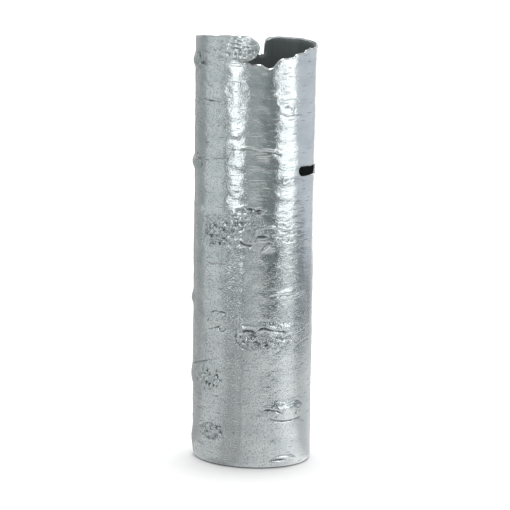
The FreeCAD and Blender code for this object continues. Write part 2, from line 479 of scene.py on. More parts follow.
def branch_collar():
    """The big scar of a lost branch, low at the front."""
    swell(4, 121, 30, 15, 1.5)
    crease([(-10, 130), (-5, 131), (0, 130.6), (3, 129.2)], 1.6, 1.6, ledge=0.6)
    crease([(4, 131), (10, 134.4), (18, 131.4), (26, 129.6), (34, 129)], 1.1, 1.3, ledge=0.7)
    swell(34, 133.5, 12, 4.2, 1.3)
    crease([(-15, 129), (-17, 124), (-14, 118.4), (-8, 114.6), (-2, 113)], 0.75, 1.5, ledge=0.5)
    crease([(-11, 125), (-8, 120), (-3, 117.6)], 0.6, 1.2)
    loop(2.8, 117.4, 3.4, 3.2, 0.6, 0.8)
    loop(13, 112.6, 3.4, 3.0, 0.6, 0.8, 0, 300)
    loop(22.5, 112.8, 3.8, 3.2, 0.6, 0.8, 60, 360)
    lumps(9, 119, 15, 6, 0.5, 20, 1.3)
    curls(4, 120, 20, 9, 34, 0.55, 4.5)
    curls(28, 120, 14, 9, 14, 0.35, 5)
    rough(6, 121, 25, 11, 0.6)
    rough(30, 120, 15, 10, 0.35)
    crease([(30, 124.4), (44, 125), (57, 128), (67, 131.5)], 0.55, 1.0)
    crease([(43, 113), (50, 116.6), (60, 118.6), (67, 119)], 0.3, 0.9)
    gash(12, 79, 17, 0.9, 0.4, 0.6)


def foot_of_bark():
    """The eye-shaped knot, the torn patches on the left and the low gash."""
    swell(-80, 80, 22, 13, 1.9)
    rough(-54, 80, 19, 12, 0.6, scars=0.9)
    lumps(-52, 82, 14, 9, 0.4, 16, 1.4)
    curls(-50, 81, 18, 11, 30, 0.65, 7)
    crease([(-90, 88), (-74, 92), (-58, 97), (-46, 99), (-38, 101.6)], 0.5, 1.1)
    loop(-31.5, 88.5, 6.8, 7.2, 0.75, 1.0, 50, 290)
    swell(34, 54, 27, 12, 1.3)
    crease([(11, 56), (18, 56.6), (25, 54.6), (31, 52.6)], 1.0, 1.2, ledge=0.6)
    crease([(14, 49.4), (22, 46), (33, 44.6), (44, 44.8), (54, 47)], 0.8, 1.1, ledge=0.4)
    crease([(36, 61), (43, 63.2), (50, 62.4), (55, 58)], 0.55, 1.0, ledge=0.4)
    loop(40, 55, 8, 4.6, 0.45, 0.9, -70, 150)
    swell(33, 56.6, 9, 3.4, 0.8)
    curls(26, 54.6, 13, 3.6, 12, 0.5, 5)
    curls(46, 57, 7, 5, 6, 0.4, 6)
    lumps(28, 54.4, 9, 3, 0.5, 8, 1.2)
    gash(-25.5, 49, 7, 0.9, 0.4, 0.4, -0.9)
    swell(-84, 18, 22, 13, 1.7)
    rough(-46, 31, 22, 11, 0.5, scars=0.9)
    curls(-44, 30, 19, 9, 24, 0.6, 6)
    crease([(-73, 31), (-61, 35), (-50, 39), (-40, 38), (-29, 37)], 0.7, 1.0)
    lumps(-44, 31, 18, 7, 0.4, 14, 1.4)
    curls(-14, 40, 26, 30, 22, 0.22, 5)
    gash(27, 8, 19, 1.6, 1.4, 0.6)
    loop(32, 7.6, 14, 4.2, 0.4, 0.9, 0, 180)
    swell(35, 8.6, 8, 2.6, 1.0)


def back_of_bark():
    """Scars round the sides and the back, in the same manner as the front's."""
    eye_knot(118, 330, 15, 8, 1.8)
    eye_knot(150, 196, 20, 11, 1.9)
    eye_knot(-140, 258, 18, 9, 1.8)
    eye_knot(-158, 104, 17, 9, 1.9)
    eye_knot(112, 92, 16, 8, 1.8)
    rough(168, 300, 26, 16, 0.6)
    curls(168, 300, 22, 13, 34, 0.5, 5)
    rough(-120, 150, 24, 13, 0.7)
    curls(-120, 150, 20, 11, 28, 0.5, 5)
    rough(135, 42, 26, 14, 0.7)
    curls(135, 42, 22, 11, 28, 0.5, 5)
    rough(-112, 330, 22, 12, 0.6)
    curls(-112, 330, 18, 10, 22, 0.45, 5)
    crease([(104, 240), (120, 243), (140, 241), (160, 244)], 0.7, 1.1)
    crease([(-170, 214), (-150, 210), (-128, 213), (-110, 210)], 0.7, 1.1)
    crease([(-175, 350), (-160, 353), (-140, 351), (-122, 354)], 0.6, 1.0)
    crease([(150, 140), (165, 137), (182, 141)], 0.6, 1.0)
    for angle, z, length in [(125, 280, 30), (-135, 185, 26), (175, 66, 28),
                             (-160, 30, 24), (98, 160, 22)]:
        gash(angle, z, length, 1.2, 0.8, 0.6)


def vertical_flutes():
    """The long shallow hollows that run up the front."""
    up = RASTER_Z[:, None]
    fading_up = below(up, BAND_HEIGHT, 30)
    wander = 1.2 * np.sin(up / 60)
    hollow = -0.65 * fading_up * np.exp(-((RASTER_ANGLE + 19.5 - wander) / 5.5) ** 2)
    shoulder = 0.25 * fading_up * np.exp(-((RASTER_ANGLE + 11 - wander) / 3.5) ** 2)
    return hollow + shoulder


relief += birch_skin() + vertical_flutes()
strewn_lenticels(900)
top_of_bark()
middle_of_bark()
branch_collar()
foot_of_bark()
back_of_bark()


def blurred(field, reach):
    """The field averaged over a square window, closed round the log."""
    out = field
    for axis, mode in ((1, "wrap"), (0, "edge")):
        widths = [(0, 0), (0, 0)]
        widths[axis] = (reach + 1, reach)
        summed = np.cumsum(np.pad(out, widths, mode=mode), axis=axis)
        ahead = np.take(summed, np.arange(2 * reach + 1, summed.shape[axis]), axis=axis)
        behind = np.take(summed, np.arange(0, summed.shape[axis] - 2 * reach - 1), axis=axis)
        out = (ahead - behind) / (2 * reach + 1)
    return out


# how far the relief lies below its blurred surroundings; the casting's colour darkens with it as painted
# shade
hollowness = blurred(blurred(relief, 5), 4) - relief


def sampled(field, angle, z):
    """A raster field read between its points."""
    column = (np.asarray(angle) * GIRTH_RADIUS % GIRTH) / (GIRTH / COLUMNS)
    row = np.clip(np.asarray(z) / PITCH, 0, ROWS - 1.001)
    c0 = np.floor(column).astype(int) % COLUMNS
    r0 = np.floor(row).astype(int)
    tc = column - np.floor(column)
    tr = row - r0
    c1 = (c0 + 1) % COLUMNS
    low = field[r0, c0] * (1 - tc) + field[r0, c1] * tc
    high = field[r0 + 1, c0] * (1 - tc) + field[r0 + 1, c1] * tc
    return low * (1 - tr) + high * tr


# ---------------------------------------------------------------- the outline
# Rim: angle from the front and how far it lies below the highest point.
RIM = [
    (-180, 31.0), (-174, 31.0), (-168, 29.5), (-162, 25.5), (-158, 19.0), (-154, 16.4),
    (-146, 15.6), (-130, 14.6), (-115, 12.0), (-100, 8.8), (-90, 7.0), (-70, 4.5),
    (-52, 3.0), (-30, 0.8), (-16, 0.2), (-14.5, 4.0), (-12.5, 21.0), (-10.5, 23.4), (-5, 26.8),
    (0, 25.8), (4, 26.2), (8, 28.4), (12, 29.6), (15.5, 28.6), (18.5, 25.4), (21.5, 21.6),
    (26, 20.5), (31, 20.8), (37.5, 20.4), (39, 18.0), (44, 17.5), (51.5, 17.2), (53, 15.2),
    (58, 15.0), (59.5, 13.8), (66, 14.7), (74, 15.3), (81, 14.6), (90, 13.4), (110, 13.2), (130, 13.5),
    (150, 14.0), (160, 14.2), (168, 15.0), (171.2, 17.0), (171.9, 22.0), (172.5, 29.0),
    (174, 30.8), (177, 31.0), (180, 31.0),
]
LOBE = (-11.5, 12.2, 14.2, 12.0)      # angle, depth below the top, half width, half height
SPLIT = (64.0, 276.9, 17.6, 3.9)      # angle, height, half length, half width
SPLIT_SLOPE = -0.05
LIP = 1.15                            # radius of the rounded edges

outline_grit = noise(5.0, 5.0)
outline_fine = noise(2.4, 2.4)


def rim_drop(turn):
    """How far the rim lies below the highest point, at angles in degrees."""
    return np.interp(turn, *np.array(RIM).T)


def cut_away(angle, z):
    """How far a place on the log lies outside the casting's outline, in mm."""
    turn = in_degrees(angle)
    rim = HEIGHT - rim_drop(turn)
    slope = (rim_drop(turn + 1) - rim_drop(turn - 1)) / 2
    above_rim = (z - rim) / np.sqrt(1 + slope ** 2)
    lobe_angle, lobe_drop, lobe_wide, lobe_high = LOBE
    right = (turn - lobe_angle) * math.radians(GIRTH_RADIUS)
    up = z - HEIGHT + lobe_drop
    off_lobe = (np.hypot(right / lobe_wide, up / lobe_high) - 1) * min(lobe_wide, lobe_high)
    torn = np.minimum(above_rim, off_lobe)
    torn = torn + 0.16 * sampled(outline_grit, angle, z) + 0.14 * sampled(outline_fine, angle, z)
    split_angle, split_z, split_long, split_wide = SPLIT
    right = (turn - split_angle) * math.radians(GIRTH_RADIUS)
    up = z - split_z - SPLIT_SLOPE * right
    beyond = np.maximum(np.abs(right) - split_long + split_wide, 0)
    in_split = split_wide - np.hypot(beyond, up) + 0.2 * sampled(outline_grit, angle, z)
    return np.maximum(torn, in_split)


def outward(angle, z):
    """Unit direction, along the bark and up, in which the outline is crossed."""
    step = 0.4
    turn = step / GIRTH_RADIUS
    along = cut_away(angle + turn, z) - cut_away(angle - turn, z)
    up = cut_away(angle, z + step) - cut_away(angle, z - step)
    size = np.maximum(np.hypot(along, up), 1e-9)
    return along / size, up / size


# ---------------------------------------------------------------- the casting
def column_angles(front_pitch, back_pitch):
    """Angles of the mesh's columns, closer together over the front."""
    front = math.radians(100)
    front_count = int(round(2 * front * GIRTH_RADIUS / front_pitch))
    back_count = int(round((2 * math.pi - 2 * front) * GIRTH_RADIUS / back_pitch))
    before = np.linspace(-front, front, front_count, endpoint=False)
    after = np.linspace(front, 2 * math.pi - front, back_count, endpoint=False)
    return np.concatenate([before, after])


def cut_sheet(angles, heights, edge):
    """A grid of the log's face, cut to the outline moved in by edge.

    Grid points near the outline are moved onto it.  Returns the angles and
    heights of the points, and faces as rows of four corners, -1 for none.
    """
    angle = np.tile(angles, (len(heights), 1))
    z = np.tile(heights[:, None], (1, len(angles)))
    inside = cut_away(angle, z) + edge
    moved_to = np.full(angle.shape, np.inf)
    new_angle = angle.copy()
    new_z = z.copy()
    gap = np.diff(np.append(angles, angles[0] + 2 * math.pi))
    tops = np.diff(heights)

    def snap(near, far, here, d_angle, d_z):
        """Moves points along one grid direction onto the outline."""
        crossing = (near * far) < 0
        t = np.where(crossing, near / np.where(crossing, near - far, 1), 1)
        use = crossing & (t <= 0.5) & (t < moved_to[here])
        moved_to[here] = np.where(use, t, moved_to[here])
        new_angle[here] = np.where(use, angle[here] + t * d_angle, new_angle[here])
        new_z[here] = np.where(use, z[here] + t * d_z, new_z[here])

    everywhere = (slice(None), slice(None))
    lower = (slice(0, -1), slice(None))
    upper = (slice(1, None), slice(None))
    snap(inside, np.roll(inside, -1, 1), everywhere, gap[None, :], 0)
    snap(inside, np.roll(inside, 1, 1), everywhere, -np.roll(gap, 1)[None, :], 0)
    snap(inside[:-1], inside[1:], lower, 0, tops[:, None])
    snap(inside[1:], inside[:-1], upper, 0, -tops[:, None])
    on_edge = np.isfinite(moved_to)
    kept = on_edge | (inside < 0)

    index = np.arange(angle.size).reshape(angle.shape)
    corners = np.stack([
        index[:-1], np.roll(index, -1, 1)[:-1],
        np.roll(index, -1, 1)[1:], index[1:],
    ], -1).reshape(-1, 4)
    flat_kept = kept.ravel()
    there = flat_kept[corners]
    flat_angle = new_angle.ravel()
    flat_z = new_z.ravel()
    # The middle of a face says which side of the outline it is on.
    turns = flat_angle[corners]
    turns = turns[:, :1] + (turns - turns[:, :1] + math.pi) % (2 * math.pi) - math.pi
    weight = there / np.maximum(there.sum(1, keepdims=True), 1)
    mid_angle = (turns * weight).sum(1)
    mid_z = (flat_z[corners] * weight).sum(1)
    solid = cut_away(mid_angle, mid_z) + edge < 0.02
    whole = corners[(there.sum(1) == 4) & solid]
    three = corners[(there.sum(1) == 3) & solid]
    missing = np.argmin(flat_kept[three], axis=1)
    order = (missing[:, None] + 1 + np.arange(3)[None, :]) % 4
    three = np.take_along_axis(three, order, axis=1)
    faces = np.vstack([whole, np.hstack([three, np.full((len(three), 1), -1)])])
    return flat_angle, flat_z, faces


def compact(angle, z, faces):
    """Drops the points that no face uses."""
    used = np.unique(faces[faces >= 0])
    renumber = np.full(angle.size + 1, -1)
    renumber[used] = np.arange(len(used))
    return angle[used], z[used], renumber[faces]


def open_loops(faces):
    """Closed chains of points along the open edges of a sheet."""
    following = {}
    edges = set()
    for face in faces.tolist():
        ring = [i for i in face if i >= 0]
        for a, b in zip(ring, ring[1:] + ring[:1]):
            if (b, a) in edges:
                edges.discard((b, a))
            else:
                edges.add((a, b))
    for a, b in edges:
        following.setdefault(a, []).append(b)
    loops = []
    while following:
        start = min(following)
        chain = [start]
        while True:
            options = following[chain[-1]]
            step = options.pop()
            if not options:
                del following[chain[-1]]
            if step == start:
                break
            chain.append(step)
        loops.append(chain)
    return loops


def opening_loops(faces, z):
    """The longest open chain round the foot, the rim and the split."""
    longest = {}
    for chain in open_loops(faces):
        top = z[chain].max()
        kind = "foot" if top < FOOT + 1 else "split" if top < SPLIT[1] + 20 else "rim"
        if len(chain) > len(longest.get(kind, ())):
            longest[kind] = chain
    return longest


def zipped(first, second, places):
    """Triangles that join two chains of points running the same way."""
    gap = np.linalg.norm(places[second] - places[first[0]], axis=1)
    turn = int(np.argmin(gap))
    second = second[turn:] + second[:turn]
    a, b = first + first[:1], second + second[:1]
    i = j = 0
    triangles = []
    while i < len(first) or j < len(second):
        ahead_a = np.linalg.norm(places[a[i + 1]] - places[b[j]]) if i < len(first) else np.inf
        ahead_b = np.linalg.norm(places[b[j + 1]] - places[a[i]]) if j < len(second) else np.inf
        if ahead_a <= ahead_b:
            triangles.append((a[i], b[j], a[i + 1], -1))
            i += 1
        else:
            triangles.append((a[i], b[j], b[j + 1], -1))
            j += 1
    return np.array(triangles)


def wall_at(angle, z):
    """Thickness of the casting, which is heavier under the lobe."""
    turn = in_degrees(angle)
    near_lobe = np.exp(-((turn + 15) / 14) ** 2 - ((z - HEIGHT + 12) / 14) ** 2)
    return WALL + 0.9 * near_lobe


def outer_radius(angle, z):
    """The bark face, plain at the very foot."""
    fading_in = np.clip((z - FOOT) / 4, 0, 1)
    return log_radius(angle, z) + sampled(relief, angle, z) * fading_in - foot_rounding(z)


def inner_radius(angle, z):
    """The plain inside, true to size where the floor and the sealant meet it."""
    free = np.clip((z - 16) / 20, 0, 1)
    sway = 0.3 * np.sin(3 * angle + z / 70) + 0.25 * np.sin(7 * angle - z / 31)
    return log_radius(angle, z, WALL) + free * sway + WALL - wall_at(angle, z)


OUTER_FACE, EDGE_FACE, INNER_FACE = 0, 1, 2
SHEET_TOP = HEIGHT + 3                        # the sheets reach above the rim, to be cut
OUTER_ROWS, OUTER_PITCHES = 432, (1.3, 2.5)   # rows, and pitch of columns front and back
INNER_ROWS, INNER_PITCHES = 96, (2.9, 4.2)
LIP_STEPS = (0.30, 0.65, 1.0, 0.65, 0.30)     # how far each ring of the lip stands out
LIP_DEPTHS = (0.10, 0.27, 0.5, 0.73, 0.90)    # and how deep in the wall it lies


def build_shell():
    """The casting's mesh: points, faces, and the kind of each face."""
    heights_out = np.linspace(FOOT, SHEET_TOP, OUTER_ROWS)
    heights_in = np.linspace(FOOT, SHEET_TOP, INNER_ROWS)
    angle_o, z_o, faces_o = compact(*cut_sheet(column_angles(*OUTER_PITCHES), heights_out, LIP))
    angle_i, z_i, faces_i = compact(*cut_sheet(column_angles(*INNER_PITCHES), heights_in, LIP))
    points = in_space(angle_o, z_o, outer_radius(angle_o, z_o))
    inner = in_space(angle_i, z_i, inner_radius(angle_i, z_i))
    first_inner = len(points)
    loops_o = opening_loops(faces_o, z_o)
    loops_i = {
        kind: [i + first_inner for i in chain]
        for kind, chain in opening_loops(faces_i, z_i).items()
    }
    inner_faces = np.where(faces_i >= 0, faces_i + first_inner, -1)
    flipped = np.where(inner_faces[:, 3:] >= 0, inner_faces[:, ::-1],
                       np.hstack([inner_faces[:, 2::-1], inner_faces[:, 3:]]))
    points = np.vstack([points, inner])
    angles = np.concatenate([angle_o, angle_i])
    heights = np.concatenate([z_o, z_i])
    faces = [faces_o, flipped]
    kinds = [np.full(len(faces_o), OUTER_FACE), np.full(len(flipped), INNER_FACE)]

    for opening in ("rim", "split"):
        chain = np.array(loops_o[opening])
        along, up = outward(angle_o[chain], z_o[chain])
        ring = chain
        face_rows = []
        r_out = outer_radius(angle_o[chain], z_o[chain])
        r_in = inner_radius(angle_o[chain], z_o[chain])
        for out, deep in zip(LIP_STEPS, LIP_DEPTHS):
            a = angle_o[chain] + along * out * LIP / GIRTH_RADIUS
            z = z_o[chain] + up * out * LIP
            r = r_out + (r_in - r_out) * deep
            start = len(points)
            points = np.vstack([points, in_space(a, z, r)])
            angles = np.concatenate([angles, a])
            heights = np.concatenate([heights, z])
            new_ring = np.arange(start, start + len(chain))
            face_rows.append(np.stack([ring, new_ring, np.roll(new_ring, -1), np.roll(ring, -1)], 1))
            ring = new_ring
        face_rows.append(zipped(list(ring), loops_i[opening], points))
        face_rows = np.vstack(face_rows)
        faces.append(face_rows)
        kinds.append(np.full(len(face_rows), EDGE_FACE))

    foot = zipped(loops_o["foot"], loops_i["foot"], points)
    faces.append(foot)
    kinds.append(np.full(len(foot), EDGE_FACE))
    return points, np.vstack(faces), np.concatenate(kinds), angles, heights


def placed(name, data):
    """An object that holds the data, linked into the scene."""
    obj = bpy.data.objects.new(name, data)
    bpy.context.scene.collection.objects.link(obj)
    return obj


def mesh_object(name, points, faces):
    """A smooth-shaded mesh object from points in metres and faces of 3 or 4 corners."""
    mesh = bpy.data.meshes.new(name)
    rings = [[i for i in face if i >= 0] for face in faces.tolist()]
    mesh.from_pydata(points.tolist(), [], rings)
    mesh.validate()
    mesh.polygons.foreach_set("use_smooth", np.ones(len(mesh.polygons), bool))
    return placed(name, mesh)


def named_uv(obj, angles, heights, kinds):
    """A seamless layout of the casting for baking: outside, inside and edges apart."""
    mesh = obj.data
    corner_point = np.zeros(len(mesh.loops), np.int64)
    mesh.loops.foreach_get("vertex_index", corner_point)
    size = np.zeros(len(mesh.polygons), np.int64)
    mesh.polygons.foreach_get("loop_total", size)
    face_of_corner = np.repeat(np.arange(len(size)), size)
    first = np.repeat(np.cumsum(size) - size, size)
    across = (angles[corner_point] / (2 * math.pi)) % 1.0
    across_first = across[first]
    across = across_first + (across - across_first + 0.5) % 1.0 - 0.5
    up = np.clip((heights[corner_point] - FOOT) / (SHEET_TOP - FOOT), 0, 1)
    kind = kinds[face_of_corner]
    bands = {OUTER_FACE: (0.01, 0.76), INNER_FACE: (0.79, 0.90), EDGE_FACE: (0.92, 0.99)}
    low = np.select([kind == k for k in bands], [bands[k][0] for k in bands])
    high = np.select([kind == k for k in bands], [bands[k][1] for k in bands])
    uv = np.stack([0.02 + 0.94 * across, low + (high - low) * up], -1)
    mesh.uv_layers.new(name="OFBake").data.foreach_set("uv", uv.ravel())


def point_values(obj, name, values):
    """Stores one number at every point of a mesh, for its material."""
    attribute = obj.data.attributes.new(name, "FLOAT", "POINT")
    attribute.data.foreach_set("value", np.asarray(values, np.float32))


def turned_piece(name, profile, steps=160, wave=0.0):
    """A closed ring or disc that follows the log's section, from (inset, z) points."""
    turns = np.linspace(0, 2 * math.pi, steps, endpoint=False)
    rings = []
    for inset, z in profile:
        radius = log_radius(turns, np.full(steps, z), inset)
        radius = radius + wave * np.sin(9 * turns + z) + 0.6 * wave * np.sin(23 * turns - z)
        rings.append(in_space(turns, np.full(steps, z), radius))
    count = len(profile)
    points = np.concatenate(rings)
    here = np.arange(steps)
    ahead = np.roll(here, -1)
    faces = []
    for k in range(count):
        a, b = k * steps, ((k + 1) % count) * steps
        faces.append(np.stack([a + here, a + ahead, b + ahead, b + here], 1))
    return mesh_object(name, points, np.vstack(faces))


# ---------------------------------------------------------------- materials
def node(tree, kind, inputs=None, **settings):
    """A shader node; inputs are numbers, colours or other nodes' sockets."""
    made = tree.nodes.new(kind)
    for key, value in settings.items():
        setattr(made, key, value)
    for key, value in (inputs or {}).items():
        if isinstance(value, bpy.types.NodeSocket):
            tree.links.new(value, made.inputs[key])
        else:
            made.inputs[key].default_value = value
    return made


def new_material(name):
    """A node material, its tree and its main shader."""
    material = bpy.data.materials.new(name)
    material.use_nodes = True
    return material, material.node_tree, material.node_tree.nodes["Principled BSDF"]


def finish(tree, shader, metallic, colour, roughness, height, strength, distance):
    """Gives a shader its metallic level, colour and roughness, and bumps from a height."""
    bump = node(tree, "ShaderNodeBump", {"Height": height, "Strength": strength, "Distance": distance})
    shader.inputs["Metallic"].default_value = metallic
    tree.links.new(colour, shader.inputs["Base Color"])
    tree.links.new(roughness, shader.inputs["Roughness"])
    tree.links.new(bump.outputs["Normal"], shader.inputs["Normal"])


def own_place(tree, scale=(1, 1, 1)):
    """The object's own coordinates, in metres, with a scale on each axis."""
    coordinates = node(tree, "ShaderNodeTexCoord")
    return node(tree, "ShaderNodeMapping",
                {"Vector": coordinates.outputs["Object"], "Scale": scale}).outputs["Vector"]


def grain(tree, place, scale, detail=2.0, roughness=0.5):
    """A noise texture's value."""
    return node(tree, "ShaderNodeTexNoise", {
        "Vector": place, "Scale": scale, "Detail": detail, "Roughness": roughness,
    }).outputs["Fac"]


def math_of(tree, operation, *values):
    """The value of a maths node."""
    return node(tree, "ShaderNodeMath", dict(enumerate(values)), operation=operation).outputs["Value"]


def spread(tree, value, low, high, to_low=0.0, to_high=1.0):
    """Maps one range of a value onto another, and holds it there."""
    return node(tree, "ShaderNodeMapRange", {
        "Value": value, "From Min": low, "From Max": high, "To Min": to_low, "To Max": to_high,
    }).outputs["Result"]


def sum_of(tree, first, second, weight):
    """first + second * weight."""
    return math_of(tree, "MULTIPLY_ADD", second, weight, first)


def thin_lines(tree, value, width):
    """Curling lines, 1 where a noise passes its middle and 0 further off than width."""
    distance = math_of(tree, "ABSOLUTE", math_of(tree, "SUBTRACT", value, 0.5))
    return spread(tree, distance, 0.0, width, 1.0, 0.0)


def stored(tree, name):
    """A number stored at the mesh's points."""
    return node(tree, "ShaderNodeAttribute", attribute_name=name).outputs["Fac"]


def mixed(tree, part, first, second):
    """A colour between two others."""
    return node(tree, "ShaderNodeMix", {"Factor": part, 6: first, 7: second},
                data_type="RGBA").outputs[2]


def bright_casting():
    """Plated metal, polished on the high places and rougher in the hollows, whose colour is darkened
    there as painted shade.
    """
    material, tree, shader = new_material("plated_casting")
    round_place = own_place(tree)
    cross_place = own_place(tree, (1, 1, 2.6))
    # painted shade: the colour darkens where the relief lies below its blurred surroundings, as in the
    # hollows
    painted_hollow_shade = spread(tree, stored(tree, "hollow"), 0.05, 0.75)
    clouds = spread(tree, grain(tree, cross_place, 28, 3), 0.35, 0.65)
    silver = mixed(tree, clouds, (0.52, 0.56, 0.57, 1), (0.60, 0.635, 0.64, 1))
    dash_place = own_place(tree, (1, 1, 9))
    dashes = spread(tree, grain(tree, dash_place, 75, 1), 0.66, 0.72)
    pits = spread(tree, grain(tree, round_place, 720, 1), 0.52, 0.72)
    pits = math_of(tree, "MULTIPLY", pits, stored(tree, "grittiness"))
    swirls = thin_lines(tree, grain(tree, round_place, 290, 2), 0.05)
    swirls = math_of(tree, "MULTIPLY", swirls, stored(tree, "scarring"))
    dark = sum_of(tree, sum_of(tree, painted_hollow_shade, dashes, 0.45), pits, 0.4)
    dark = sum_of(tree, dark, swirls, 0.65)
    # the dark colour carries the painted shade of the hollows, along with the dark dashes, pits and
    # swirls
    colour = mixed(tree, dark, silver, (0.15, 0.17, 0.175, 1))
    mottle = grain(tree, round_place, 160, 3)
    roughness = spread(tree, mottle, 0.3, 0.7, 0.08, 0.18)
    roughness = sum_of(tree, roughness, dark, 0.2)
    lines = grain(tree, cross_place, 230, 3)
    grit = grain(tree, round_place, 700, 2)
    height = sum_of(tree, sum_of(tree, lines, grit, 0.7), dashes, -0.8)
    height = sum_of(tree, height, pits, -1.3)
    height = sum_of(tree, height, swirls, -2.6)
    finish(tree, shader, 1.0, colour, roughness, height, 1.0, 0.00016)
    return material


def broken_edge():
    """The lip of the tear and the split, brighter where hands and cloths rub it."""
    material, tree, shader = new_material("worn_edge")
    place = own_place(tree)
    rubbed = spread(tree, grain(tree, place, 120, 3), 0.35, 0.65)
    colour = mixed(tree, rubbed, (0.36, 0.39, 0.395, 1), (0.52, 0.55, 0.55, 1))
    roughness = spread(tree, rubbed, 0.0, 1.0, 0.34, 0.2)
    finish(tree, shader, 1.0, colour, roughness, grain(tree, place, 600, 2), 0.5, 0.0001)
    return material


def dark_inside(name, light, dark, metallic):
    """Unpolished metal with a dark lacquer, faintly streaked down the wall."""
    material, tree, shader = new_material(name)
    streaks = grain(tree, own_place(tree, (1, 1, 0.12)), 60, 4)
    specks = grain(tree, own_place(tree), 500, 3)
    colour = mixed(tree, spread(tree, streaks, 0.35, 0.65), dark, light)
    roughness = spread(tree, specks, 0.3, 0.7, 0.5, 0.68)
    finish(tree, shader, metallic, colour, roughness, specks, 0.4, 0.00015)
    return material


def sealant():
    """Dark rubbery sealant, smoothed with a finger."""
    material, tree, shader = new_material("sealant")
    place = own_place(tree)
    smear = grain(tree, place, 90, 3)
    colour = mixed(tree, smear, (0.018, 0.019, 0.02, 1), (0.045, 0.047, 0.048, 1))
    roughness = spread(tree, smear, 0.3, 0.7, 0.35, 0.55)
    finish(tree, shader, 0.0, colour, roughness, smear, 0.5, 0.0004)
    return material


def felt():
    """Pressed wool felt."""
    material, tree, shader = new_material("felt")
    place = own_place(tree)
    fibres = grain(tree, place, 1800, 4, 0.7)
    tufts = grain(tree, place, 240, 3)
    blend = sum_of(tree, tufts, fibres, 0.6)
    worn = spread(tree, blend, 0.5, 1.1)
    colour = mixed(tree, worn, (0.012, 0.012, 0.013, 1), (0.05, 0.05, 0.053, 1))
    roughness = spread(tree, tufts, 0.3, 0.7, 0.88, 1.0)
    finish(tree, shader, 0.0, colour, roughness, blend, 0.8, 0.0004)
    shader.inputs["Sheen Weight"].default_value = 0.3
    return material


# ---------------------------------------------------------------- the pieces
def grittiness(angle, z):
    """How granular the casting is: most on its lower half, least on the smooth strip."""
    turn = in_degrees(angle)
    lower_half = below(z, 240, 70)
    left_side = np.clip((-22 - turn) / 12, 0, 1) * (1 - lower_half)
    calm = (1 - 0.8 * smooth_strip(turn)) * (1 - 0.7 * flank(turn, z)) * (1 - 0.45 * low_right(turn, z))
    return calm * (0.2 + 0.8 * lower_half + 0.5 * left_side)


def make_shell():
    """The casting, with its three materials and what they read from its points."""
    points, faces, kinds, angles, heights = build_shell()
    shell = mesh_object("bark_casting", points, faces)
    for material in (
        bright_casting(),
        broken_edge(),
        dark_inside("lacquered_inside", (0.18, 0.205, 0.207, 1), (0.13, 0.15, 0.152, 1), 0.4),
    ):
        shell.data.materials.append(material)
    shell.data.polygons.foreach_set("material_index", kinds.astype(np.int32))
    # the hollows' depth, which the casting's material turns into painted shade
    point_values(shell, "hollow", sampled(hollowness, angles, heights))
    point_values(shell, "grittiness", grittiness(angles, heights))
    point_values(shell, "scarring", sampled(scarring, angles, heights))
    named_uv(shell, angles, heights, kinds)
    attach(shell, "root")
    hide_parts("bark_shell")


def make_seal():
    """The bead in the corner between the floor and the wall, a little uneven."""
    low, high = seal_low.z / MM, seal_high.z / MM
    rise = high - low
    profile = [
        (WALL + 0.02, low), (WALL + 0.02, high), (WALL + 0.5, high - 0.2),
        (WALL + 1.2, low + 0.5 * rise), (WALL + 2.6, low + 0.2 * rise),
        (WALL + rise - 0.4, low + 0.25), (WALL + rise, low),
    ]
    seal = turned_piece("sealant_bead", profile, wave=0.02)
    seal.data.materials.append(sealant())
    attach(seal, "root")
    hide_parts("base_seal")


def make_pad():
    """The felt disc, with soft edges and a slightly uneven outline."""
    low, high = pad_low.z / MM, pad_high.z / MM
    edge = WALL + 1.2
    span = ROOT_RADIUS - edge
    rings = [(edge + 0.5, low), (edge + 0.12, low + 0.3), (edge, low + 0.9),
             (edge, high - 0.7), (edge + 0.15, high - 0.2), (edge + 0.5, high)]
    inward = [edge + span * part for part in (0.15, 0.4, 0.7, 0.985)]
    profile = rings + [(inset, high) for inset in inward] + [(inset, low) for inset in inward[::-1]]
    pad = turned_piece("felt_pad", profile, wave=0.05)
    pad.data.materials.append(felt())
    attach(pad, "root")
    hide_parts("base_pad")


make_shell()
make_seal()
make_pad()
floor_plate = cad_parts["base_floor"]
floor_plate.data.materials.clear()
floor_plate.data.materials.append(
    dark_inside("floor_casting", (0.12, 0.13, 0.13, 1), (0.06, 0.068, 0.068, 1), 0.7))


# ---------------------------------------------------------------- the studio
FLOOR_REACH = 40.0        # metres from the vase to the floor's edges


def stage_mesh(name, points, faces, material):
    """A part of the studio, with points in metres."""
    mesh = bpy.data.meshes.new(name)
    mesh.from_pydata(points, [], faces)
    mesh.materials.append(material)
    obj = placed(name, mesh)
    return obj


def level_square(name, z, material):
    """A square of the table's plane, at a height in metres."""
    corners = [(-1, -1), (1, -1), (1, 1), (-1, 1)]
    points = [(FLOOR_REACH * x, FLOOR_REACH * y, z) for x, y in corners]
    return stage_mesh(name, points, [(0, 1, 2, 3)], material)


def glowing(name):
    """A material that only gives off light."""
    material, tree, shader = new_material(name)
    shader.inputs["Base Color"].default_value = (0, 0, 0, 1)
    shader.inputs["Specular IOR Level"].default_value = 0.0
    shader.inputs["Emission Strength"].default_value = 1.0
    return material, tree, shader.inputs["Emission Color"]


def only_reflected(obj):
    """Hides an object from all but the metal's reflections."""
    obj.visible_camera = False
    obj.visible_diffuse = False
    obj.visible_shadow = False


def pale_floor():
    material, tree, shader = new_material("pale_floor")
    tint = grain(tree, own_place(tree), 2.0, 2)
    colour = mixed(tree, tint, (0.88, 0.88, 0.88, 1), (0.9, 0.9, 0.9, 1))
    tree.links.new(colour, shader.inputs["Base Color"])
    shader.inputs["Roughness"].default_value = 0.9
    shader.inputs["Specular IOR Level"].default_value = 0.0
    level_square("floor", 0, material).visible_glossy = False


